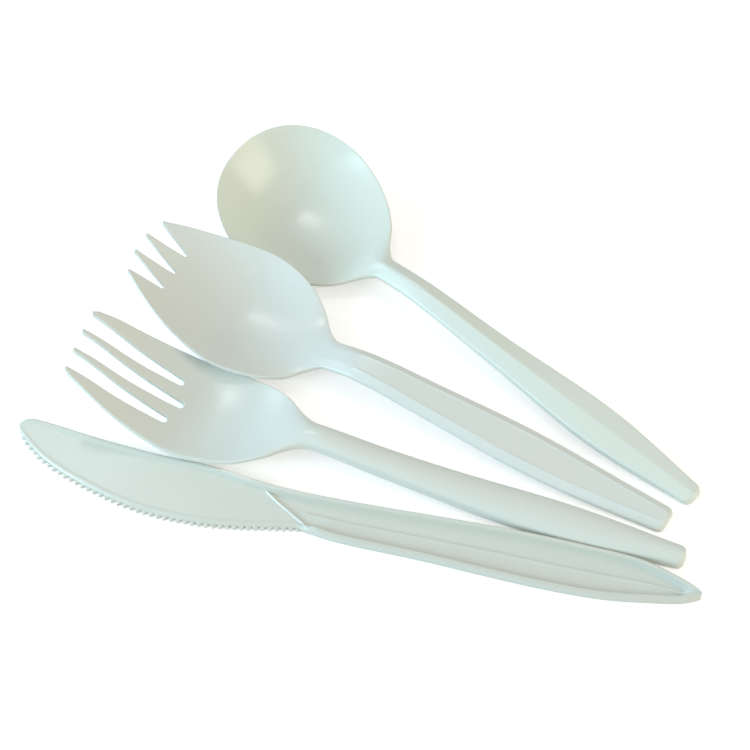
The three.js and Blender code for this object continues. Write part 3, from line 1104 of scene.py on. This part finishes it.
@dataclass
class Knife:
    """The knife, with the open side of its handle up. Its teeth are a class of their own.

    Attributes:
        name: The piece's name.
        length: The knife's length.
        heel: Place of the heel, where the blade ends and the handle begins.
        blade_width: Width of the blade.
        blade_thickness: Thickness of the blade.
        edge_thickness: Thickness of its edge.
        neck_width: Width at the heel.
        handle_width: Greatest width of the handle.
        handle_height: Height of the handle's far rim.
        floor: Thickness of the channel's floor.
        spine_height: Height of the spine in the middle of the blade.
        rim_width: Width of the rims.
        rib_width: Width of the middle rib.
        rib_height: Height of the rib above the floor.
        bead: Height of the ridge across the heel.
        edge_bead: Height of the faint bead behind the teeth.
        heel_slant: How much further from the tip the heel lies at the edge than at the spine.
        heel_bulge: How far its line is bowed.
        near_step: How much lower the near rim is than the far one.
        teeth: How many teeth there are.
        tooth_depth: Depth of the teeth.
        blade_mid: Place across of the middle of the neck.
        handle_mid: Place across of the middle of the handle.
    """

    name: str = "knife_moulding"
    length: float = 184
    heel: float = 74.8
    blade_width: float = 17.8
    blade_thickness: float = 1.3
    edge_thickness: float = 1.0
    neck_width: float = 10.2
    handle_width: float = 14.2
    handle_height: float = 3.2
    floor: float = 0.9
    spine_height: float = 2
    rim_width: float = 1.2
    rib_width: float = 0.7
    rib_height: float = 0.42
    bead: float = 0.32
    edge_bead: float = 0.05
    heel_slant: float = 17
    heel_bulge: float = 1.7
    near_step: float = 0.4
    teeth: int = 46
    tooth_depth: float = 1
    blade_mid: float = -4.3
    handle_mid: float = -1.4

    def __post_init__(self) -> None:
        """Sets up the two sides of the plan."""
        heel, mid, neck = self.heel, self.blade_mid, self.neck_width
        self.spine_side = through(
            (0, 1.4),
            (0.3, 2.2),
            (1, 3.2),
            (2.6, 3.85),
            (6, 3.8),
            (20, 2.8),
            (38, 2.3),
            (52, 2.4),
            (64, 1.2),
            (heel, mid + neck / 2),
            (heel + 14, mid + 0.56 * neck),
            (118, 3.8),
            (135, 5.1),
            (152, self.handle_mid + self.handle_width / 2),
            (168, 5.5),
            (self.length - 6, 3.1),
            (self.length - 2, 1.6),
            (self.length - 0.5, 0.8),
            (self.length, 0.2),
        )
        self.edge_side = through(
            (0, 1),
            (0.3, 0.2),
            (0.9, -0.9),
            (2, -2.4),
            (5, -5),
            (10, -8.1),
            (22, -12.4),
            (38, 2.3 - self.blade_width),
            (52, 2.4 - self.blade_width),
            (62, -13.9),
            (heel - 1, mid - 0.66 * neck),
            (heel + 6, mid - neck / 2),
            (heel + 14, mid - 0.54 * neck),
            (112, -9.1),
            (146, self.handle_mid - self.handle_width / 2),
            (160, -7.3),
            (172, -4.9),
            (self.length - 4, -2.7),
            (self.length - 1.4, -1.3),
            (self.length - 0.4, -0.6),
            (self.length, -0.1),
        )
        self.spine_top = through(
            (0, self.blade_thickness),
            (3, self.blade_thickness + 0.3),
            (12, self.blade_thickness + 0.6),
            (40, self.spine_height),
            (heel + 4, self.handle_height),
            (self.length, self.handle_height),
        )

    def section(self, s: float) -> np.ndarray:
        """The corners of one section, over the top and back underneath.

        Args:
            s: Where the section lies along the knife.

        Returns:
            The corners, one row each.
        """
        heel = self.heel
        in_wall = float(smoothstep(s, heel - 3.5, heel + 2.5))
        past_edge = float(smoothstep(s, heel - 5, heel + 0.5))
        in_tip = float(smoothstep(s, self.length - 5, self.length - 2))
        bead_falls = smoothstep(s, heel - 0.5, heel + 0.3)
        bead = self.bead * float(smoothstep(s, heel - 1.5, heel - 0.6) * (1 - bead_falls))
        floor = mix(self.blade_thickness, self.floor, float(smoothstep(s, heel - 0.4, heel + 0.9))) + bead
        floor = mix(floor, self.handle_height - self.near_step - 0.1, in_tip)
        rib = floor + self.rib_height * (1 - in_tip) * float(smoothstep(s, heel + 0.4, heel + 4))
        land_top = self.blade_thickness + self.edge_bead * (1 - past_edge) + bead * past_edge
        wall_top = mix(land_top, self.handle_height - self.near_step, in_wall)
        width = float(self.spine_side(s) - self.edge_side(s))
        land = mix(1.4 * self.tooth_depth, 0.05, past_edge)
        rim = mix(0.6, self.rim_width, in_wall)

        # Where the knife is narrow, everything across it shrinks together.
        squeeze = min(1.0, width / (2.1 * (1.25 * self.rim_width + 0.75 * self.rib_width + land)))
        spine_rim = self.rim_width * squeeze
        rim *= squeeze
        land *= squeeze
        edge_top = mix(self.edge_thickness, wall_top - 0.05, in_wall)
        edge_top = mix(edge_top, wall_top - 0.02, past_edge)
        spine_top = float(self.spine_top(s))
        rib_half = self.rib_width / 2 * squeeze * (0.05 + 0.95 * float(smoothstep(s, heel + 0.4, heel + 4)))
        toothed = float(smoothstep(s, 0.6, 1.6) * (1 - smoothstep(s, heel - 4.5, heel - 0.5)))
        root = self.tooth_depth * toothed * squeeze
        rise = float(smoothstep(s, heel - 40, heel - 3) * (1 - smoothstep(s, heel + 3, heel + 40)))

        def place(share: float, across: float, z: float) -> tuple[float, float, float]:
            """A corner, moved along the knife where the sections slant.

            Args:
                share: Its place across, from 0 at the spine side to 1 at the edge side.
                across: How far it lies from there toward the spine side.
                z: Its height.

            Returns:
                Its place.
            """
            down = min(max(share - across / width, 0.0), 1.0)
            x = s + rise * (self.heel_slant * (down - 0.5) + 4 * self.heel_bulge * down * (1 - down))
            y = mix(float(self.spine_side(x)), float(self.edge_side(x)), share) + across
            return (x, y, z)

        return np.array(
            [
                place(0, -0.1 * squeeze, 0),
                place(0, 0, spine_top),
                place(0, -spine_rim, spine_top),
                place(0, -1.3 * spine_rim, min(floor, spine_top - 0.05)),
                place(0.3, 0, floor),
                place(0.5, 1.3 * rib_half, floor),
                place(0.5, rib_half, rib),
                place(0.5, -rib_half, rib),
                place(0.5, -1.9 * rib_half, floor),
                place(0.7, 0, floor),
                place(1, land + 1.9 * rim, floor),
                place(1, land + rim, wall_top),
                place(1, max(land, root), wall_top),
                place(1, max(0.9 * land, root), mix(wall_top - 0.12, wall_top, past_edge)),
                place(1, root, edge_top),
                place(1, root + 0.1 * past_edge * squeeze, 0),
            ]
        )

    def rounded(self, corners: np.ndarray) -> np.ndarray:
        """Rounds the corners of a section.

        Args:
            corners: The section's corners.

        Returns:
            The points of the rounded section.
        """
        radii = (0.25, 0.55, 0.5, 0.35, 0.3, 0.15, 0.22, 0.22, 0.15, 0.3, 0.35, 0.5, 0.3, 0.2, 0.1, 0.1)
        points = []
        count = len(corners)
        for i, radius in enumerate(radii):
            here = corners[i]
            sides = []
            for other in (corners[i - 1], corners[(i + 1) % count]):
                step = other - here
                size = float(np.linalg.norm(step))
                reach = min(radius, 0.45 * size)
                sides.append(here + step * (reach / max(size, 1e-6)))
            for t in (0.0, 0.25, 0.5, 0.75, 1.0):
                points.append((1 - t) ** 2 * sides[0] + 2 * t * (1 - t) * here + t * t * sides[1])
        return np.array(points)

    def build(self, lie: Lie) -> bpy.types.Object:
        """Makes the knife without its teeth as one closed mesh.

        Args:
            lie: Where it lies.

        Returns:
            The object.
        """
        fine = np.arange(12, self.length - 12, 0.9)
        fine = fine[np.abs(fine - self.heel) > 3]
        near = np.arange(self.heel - 3, self.heel + 3.05, 0.15)
        tip = 12 * (1 - np.cos(np.linspace(0, math.pi / 2, 22)[:-1]))
        stations = np.sort(np.concatenate([tip, fine, near, self.length - tip]))
        loops = [self.rounded(self.section(float(s))) for s in stations]
        around = len(loops[0])
        faces = banded(around, len(loops))
        faces.append(list(range(around)))
        last = (len(loops) - 1) * around
        faces.append([last + j for j in range(around)])
        return finished(self.name, np.concatenate(loops), faces, lie)


@dataclass
class KnifeTeeth:
    """The row of teeth along the knife's edge, made by geometry nodes along a curve.

    Attributes:
        knife: The knife that carries the teeth.
        name: The piece's name.
        start: Place of the first tooth.
        past_heel: How far behind the heel the last one sits.
        depth_share: The deepest tooth as a share of the knife's tooth depth.
        unevenness: How much shallower a tooth may be.
        seed: Seed of the unevenness.
    """

    knife: Knife
    name: str = "knife_teeth"
    start: float = 0.8
    past_heel: float = 5
    depth_share: float = 1.2
    unevenness: float = 0.2
    seed: int = 7

    def tooth(self) -> bpy.types.Object:
        """One tooth, pointing along y, with its root at the origin and one long and one deep.

        Returns:
            The object.
        """
        outline = (
            (-0.5, -0.4),
            (-0.5, 0),
            (-0.34, 0.14),
            (0.02, 1),
            (0.12, 0.98),
            (0.36, 0.16),
            (0.5, 0),
            (0.5, -0.4),
        )
        low = [(x, y, 0.03) for x, y in outline]
        mid = [(x, y, 0.6) for x, y in outline]
        high = [(x * 0.86, y * 0.9 - 0.03, 0.8) for x, y in outline]
        count = len(outline)
        faces = [list(range(count)), *banded(count, 3), [2 * count + i for i in range(count)]]
        mesh = bpy.data.meshes.new("tooth")
        mesh.from_pydata(low + mid + high, [], faces)
        form = bmesh.new()
        form.from_mesh(mesh)
        bmesh.ops.recalc_face_normals(form, faces=form.faces)
        form.to_mesh(mesh)
        form.free()
        made = linked("tooth", mesh)
        made.hide_render = True
        return made

    def row(self) -> bpy.types.Object:
        """The line of the teeth's roots as a curve, in millimetres.

        Returns:
            The curve object.
        """
        knife = self.knife
        x = np.linspace(self.start, knife.heel + self.past_heel, 160)
        y = knife.edge_side(x)
        ahead = np.gradient(np.column_stack([x, y]), axis=0)
        ahead /= np.hypot(*ahead.T)[:, None]
        root = np.column_stack([x - ahead[:, 1] * knife.tooth_depth, y + ahead[:, 0] * knife.tooth_depth])
        data = bpy.data.curves.new(self.name, "CURVE")
        data.dimensions = "3D"
        spline = data.splines.new("POLY")
        spline.points.add(len(root) - 1)
        for point, (px, py) in zip(spline.points, root):
            point.co = (px, py, 0, 1)
        made = linked(self.name, data)
        return made

    def tree(self, tooth: bpy.types.Object, material: bpy.types.Material) -> bpy.types.NodeTree:
        """The geometry node tree that repeats the tooth.

        Args:
            tooth: The tooth that is repeated.
            material: Its material.

        Returns:
            The tree.
        """
        tree = bpy.data.node_groups.new("teeth along an edge", "GeometryNodeTree")
        tree.interface.new_socket("Geometry", in_out="INPUT", socket_type="NodeSocketGeometry")
        tree.interface.new_socket("Teeth", in_out="INPUT", socket_type="NodeSocketInt")
        for name in ("Pitch", "Depth", "Unevenness"):
            tree.interface.new_socket(name, in_out="INPUT", socket_type="NodeSocketFloat")
        tree.interface.new_socket("Geometry", in_out="OUTPUT", socket_type="NodeSocketGeometry")
        given = add_node(tree, "NodeGroupInput", {}).outputs
        tangent = add_node(tree, "GeometryNodeInputTangent", {}).outputs["Tangent"]
        carried = add_node(tree, "GeometryNodeCaptureAttribute", {"Geometry": given["Geometry"]})
        carried.capture_items.new("VECTOR", "Tangent")
        wire(carried, {"Tangent": tangent})
        line = {"Curve": carried.outputs["Geometry"], "Count": given["Teeth"]}
        points = add_node(tree, "GeometryNodeCurveToPoints", line, mode="COUNT")
        draw = {"Min": 0, "Max": 1, "Seed": self.seed}
        chance = add_node(tree, "FunctionNodeRandomValue", draw, data_type="FLOAT")
        product = {0: chance.outputs["Value"], 1: given["Unevenness"]}
        lack = add_node(tree, "ShaderNodeMath", product, operation="MULTIPLY")
        difference = {0: given["Depth"], 1: lack.outputs["Value"]}
        deep = add_node(tree, "ShaderNodeMath", difference, operation="SUBTRACT")
        sides = {"X": given["Pitch"], "Y": deep.outputs["Value"], "Z": 1}
        size = add_node(tree, "ShaderNodeCombineXYZ", sides)
        reverse = {0: carried.outputs["Tangent"], "Scale": -1}
        back = add_node(tree, "ShaderNodeVectorMath", reverse, operation="SCALE")
        facing = {"Vector": back.outputs["Vector"]}
        turn = add_node(tree, "FunctionNodeAlignRotationToVector", facing, axis="X", pivot_axis="Z")
        source = add_node(tree, "GeometryNodeObjectInfo", {"Object": tooth})
        copies = {
            "Points": points.outputs["Points"],
            "Instance": source.outputs["Geometry"],
            "Rotation": turn.outputs["Rotation"],
            "Scale": size.outputs["Vector"],
        }
        placed = add_node(tree, "GeometryNodeInstanceOnPoints", copies)
        real = add_node(tree, "GeometryNodeRealizeInstances", {"Geometry": placed.outputs["Instances"]})
        paint = {"Geometry": real.outputs["Geometry"], "Material": material}
        painted = add_node(tree, "GeometryNodeSetMaterial", paint)
        add_node(tree, "NodeGroupOutput", {"Geometry": painted.outputs["Geometry"]})
        return tree

    def build(self, lie: Lie, material: bpy.types.Material) -> bpy.types.Object:
        """Makes the row of teeth and lays it in its place.

        Args:
            lie: Where the knife lies.
            material: The knife's material.

        Returns:
            The object.
        """
        knife = self.knife
        tooth = self.tooth()
        row = self.row()
        modifier = row.modifiers.new("teeth", "NODES")
        modifier.node_group = self.tree(tooth, material)
        roots = [point.co[:2] for point in row.data.splines[0].points]
        reach = sum(math.dist(a, b) for a, b in zip(roots, roots[1:]))
        wanted = {
            "Teeth": knife.teeth,
            "Pitch": reach / (knife.teeth - 1),
            "Depth": self.depth_share * knife.tooth_depth,
            "Unevenness": self.unevenness,
        }
        for item in modifier.node_group.interface.items_tree:
            if item.item_type == "SOCKET" and item.in_out == "INPUT" and item.name in wanted:
                modifier[item.identifier] = wanted[item.name]
        made = settled(row)
        bpy.data.objects.remove(tooth)
        made.data.transform(lie.matrix())
        log.info("%s: %d faces", self.name, len(made.data.polygons))
        return made


@dataclass(frozen=True)
class PlasticFinish:
    """A satin moulded plastic.

    Attributes:
        name: The material's name.
        colour: Its base colour, linear.
        shade: The base colour where the resin lies a little darker.
        roughness: Middle of its roughness.
        spread: How far the roughness goes up and down from there.
        flow_scale: Scale of the slow changes in colour and roughness.
        grain: Strength of the fine surface grain.
        grain_scale: Scale of the grain.
        grain_depth: Depth of the grain in metres.
        index: The plastic's index of refraction.
    """

    name: str
    colour: tuple[float, float, float]
    shade: tuple[float, float, float]
    roughness: float = 0.25
    spread: float = 0.03
    flow_scale: float = 38
    grain: float = 0.12
    grain_scale: float = 2600
    grain_depth: float = 0.00002
    index: float = 1.49

    def make(self) -> bpy.types.Material:
        """Builds the material from nodes.

        Returns:
            The material.
        """
        material = bpy.data.materials.new(self.name)
        material.use_nodes = True
        tree = material.node_tree
        place = add_node(tree, "ShaderNodeTexCoord", {}).outputs["Object"]
        flowing = {"Vector": place, "Scale": self.flow_scale, "Detail": 3}
        flow = add_node(tree, "ShaderNodeTexNoise", flowing).outputs["Fac"]
        colours = {"A": (*self.colour, 1), "B": (*self.shade, 1), "Factor": flow}
        tint = add_node(tree, "ShaderNodeMix", colours, data_type="RGBA")
        low, high = self.roughness - self.spread, self.roughness + self.spread
        wear = add_node(tree, "ShaderNodeMapRange", {"Value": flow, "To Min": low, "To Max": high})
        grained = {"Vector": place, "Scale": self.grain_scale, "Detail": 2}
        grain = add_node(tree, "ShaderNodeTexNoise", grained).outputs["Fac"]
        raised = {"Strength": self.grain, "Distance": self.grain_depth, "Height": grain}
        bump = add_node(tree, "ShaderNodeBump", raised)
        surface = {
            "Base Color": tint.outputs["Result"],
            "Roughness": wear.outputs["Result"],
            "Normal": bump.outputs["Normal"],
            "IOR": self.index,
            "Specular IOR Level": 0.5,
        }
        wire(tree.nodes["Principled BSDF"], surface)
        return material


@dataclass
class Pack:
    """The four utensils in their places in the fan.

    Attributes:
        knife: The knife.
        mouldings: The other three, by the names of their nodes.
        pieces: What has been made, by the names of the nodes.
    """

    knife: Knife = field(default_factory=Knife)
    mouldings: dict[str, Moulding] = field(
        default_factory=lambda: {"fork": Fork(), "spork": Spork(), "spoon": Spoon()}
    )
    pieces: dict[str, list[bpy.types.Object]] = field(default_factory=dict)

    def __post_init__(self) -> None:
        """Sets the places of the four."""
        self.lies = {
            "knife": Lie((82.8, -66, 0), 163.9, 0, 0, self.knife.length),
            "fork": Lie((79.2, -54.8, 0.0465), 160.85, 0.304, 1, Fork.length),
            "spork": Lie((75.6, -43.4, 0.1021), 150.8, 0.491, -2, Spork.length),
            "spoon": Lie((83, -36.4, 0.3057), 138.7, -0.012, -7, Spoon.length),
        }

    def build(self) -> None:
        """Makes the pieces of each utensil."""
        lie = self.lies["knife"]
        self.pieces["knife"] = [self.knife.build(lie)]
        for name, moulding in self.mouldings.items():
            self.pieces[name] = [moulding.build(self.lies[name])]

    def dress(self) -> None:
        """Gives each utensil its finish and ties it to the frame."""
        finishes = {
            "knife": PlasticFinish("knife plastic", (0.69, 0.715, 0.665), (0.67, 0.695, 0.645)),
            "fork": PlasticFinish("fork plastic", (0.74, 0.77, 0.73), (0.72, 0.75, 0.71)),
            "spork": PlasticFinish("spork plastic", (0.75, 0.78, 0.75), (0.73, 0.76, 0.73)),
            "spoon": PlasticFinish("spoon plastic", (0.755, 0.80, 0.74), (0.735, 0.78, 0.72)),
        }
        for name, finish in finishes.items():
            material = finish.make()
            for piece in self.pieces[name]:
                piece.data.materials.clear()
                piece.data.materials.append(material)
            if name == "knife":
                self.pieces[name].append(KnifeTeeth(self.knife).build(self.lies["knife"], material))
            for piece in self.pieces[name]:
                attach(piece, "root")
            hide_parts(name)


@dataclass(frozen=True)
class Camera:
    """The camera of the photograph.

    Attributes:
        aim: The point that it looks at, in metres.
        distance: How far it stands off, in metres.
        elevation: Its angle above the table, in degrees.
        focal: Its focal length in pixels of the photograph.
        frame_width: The photograph's width in pixels.
    """

    aim: tuple[float, float, float] = (PACK_SHIFT[0] * MM, PACK_SHIFT[1] * MM, 0.004)
    distance: float = 0.8
    elevation: float = 56
    focal: float = 3016
    frame_width: float = 750

    def build(self) -> None:
        """Makes the camera and sets it."""
        up = math.radians(self.elevation)
        back = Vector((0, -math.cos(up), math.sin(up)))
        data = bpy.data.cameras.new("camera")
        data.sensor_width = 36
        data.lens = self.focal / self.frame_width * data.sensor_width
        data.clip_start = 0.05
        data.clip_end = 20
        made = linked("camera", data)
        made.location = Vector(self.aim) + back * self.distance
        made.rotation_euler = (-back).to_track_quat("-Z", "Y").to_euler()
        bpy.context.scene.camera = made


@dataclass(frozen=True)
class Lamp:
    """A soft area lamp that looks at the middle of the pack.

    Attributes:
        name: The lamp's name.
        place: Where it hangs, in metres.
        size: The width of its square, in metres.
        power: Its power in watts.
        colour: Its colour.
    """

    name: str
    place: tuple[float, float, float]
    size: float
    power: float
    colour: tuple[float, float, float]

    def build(self) -> None:
        """Makes the lamp."""
        data = bpy.data.lights.new(self.name, "AREA")
        data.size = self.size
        data.energy = self.power
        data.color = self.colour
        made = linked(self.name, data)
        made.location = self.place
        made.rotation_euler = (-Vector(self.place)).to_track_quat("-Z", "Y").to_euler()


@dataclass(frozen=True)
class Studio:
    """The pale floor, the soft light all around and the lamps.

    Attributes:
        floor_half: Half of the floor's width, in metres.
        floor_drop: How far the floor lies below the pack, in metres.
        floor_glow: How much light the floor adds where the camera sees it.
        sky_colour: Colour of the light all around.
        sky_strength: Its strength.
    """

    floor_half: float = 6
    floor_drop: float = 0.0002
    floor_glow: float = 0.42
    sky_colour: tuple[float, float, float] = (1.0, 0.96, 0.9)
    sky_strength: float = 0.45

    def build(self) -> None:
        """Makes the floor, the world and the lamps."""
        self.floor()
        self.world()
        lamps = (
            Lamp("left lamp", (-0.95, -0.36, 0.42), 0.5, 8.9, (0.57, 0.85, 1.0)),
            Lamp("far left lamp", (-0.92, 0.45, 0.46), 0.6, 3.7, (0.59, 0.86, 1.0)),
            Lamp("right lamp", (0.92, -0.4, 0.42), 0.6, 5.1, (1.0, 0.97, 0.77)),
            Lamp("high lamp", (-0.25, 0.57, 1.13), 0.16, 1.1, (0.98, 1.0, 1.0)),
        )
        for lamp in lamps:
            lamp.build()
        bpy.context.scene.view_settings.view_transform = "Standard"

    def floor(self) -> None:
        """Makes the floor, a wide pale sheet that glows for the camera alone."""
        mesh = bpy.data.meshes.new("floor")
        form = bmesh.new()
        bmesh.ops.create_grid(form, x_segments=8, y_segments=8, size=self.floor_half)
        form.to_mesh(mesh)
        form.free()
        floor = bpy.data.objects.new("floor", mesh)
        floor.location = (0, 0, -self.floor_drop)
        bpy.context.scene.collection.objects.link(floor)
        material = bpy.data.materials.new("pale floor")
        material.use_nodes = True
        tree = material.node_tree
        shader = tree.nodes["Principled BSDF"]
        wire(shader, {"Base Color": (0.9, 0.9, 0.9, 1), "Roughness": 0.9, "Specular IOR Level": 0})
        path = add_node(tree, "ShaderNodeLightPath", {})
        seen = {0: path.outputs["Is Camera Ray"], 1: self.floor_glow}
        strength = add_node(tree, "ShaderNodeMath", seen, operation="MULTIPLY")
        white = {"Color": (1, 1, 1, 1), "Strength": strength.outputs["Value"]}
        glow = add_node(tree, "ShaderNodeEmission", white)
        shaders = {0: shader.outputs["BSDF"], 1: glow.outputs["Emission"]}
        both = add_node(tree, "ShaderNodeAddShader", shaders)
        wire(tree.nodes["Material Output"], {"Surface": both.outputs["Shader"]})
        mesh.materials.append(material)

    def world(self) -> None:
        """Sets the soft light that comes from all around."""
        world = bpy.data.worlds.new("soft light")
        world.use_nodes = True
        light = {"Color": (*self.sky_colour, 1), "Strength": self.sky_strength}
        wire(world.node_tree.nodes["Background"], light)
        bpy.context.scene.world = world


def main() -> None:
    """Builds the scene in order."""
    logging.basicConfig(level=logging.INFO, format="%(name)s: %(message)s")
    Camera().build()
    pack = Pack()
    pack.build()
    pack.dress()
    Studio().build()


if __name__ == "__main__":
    main()
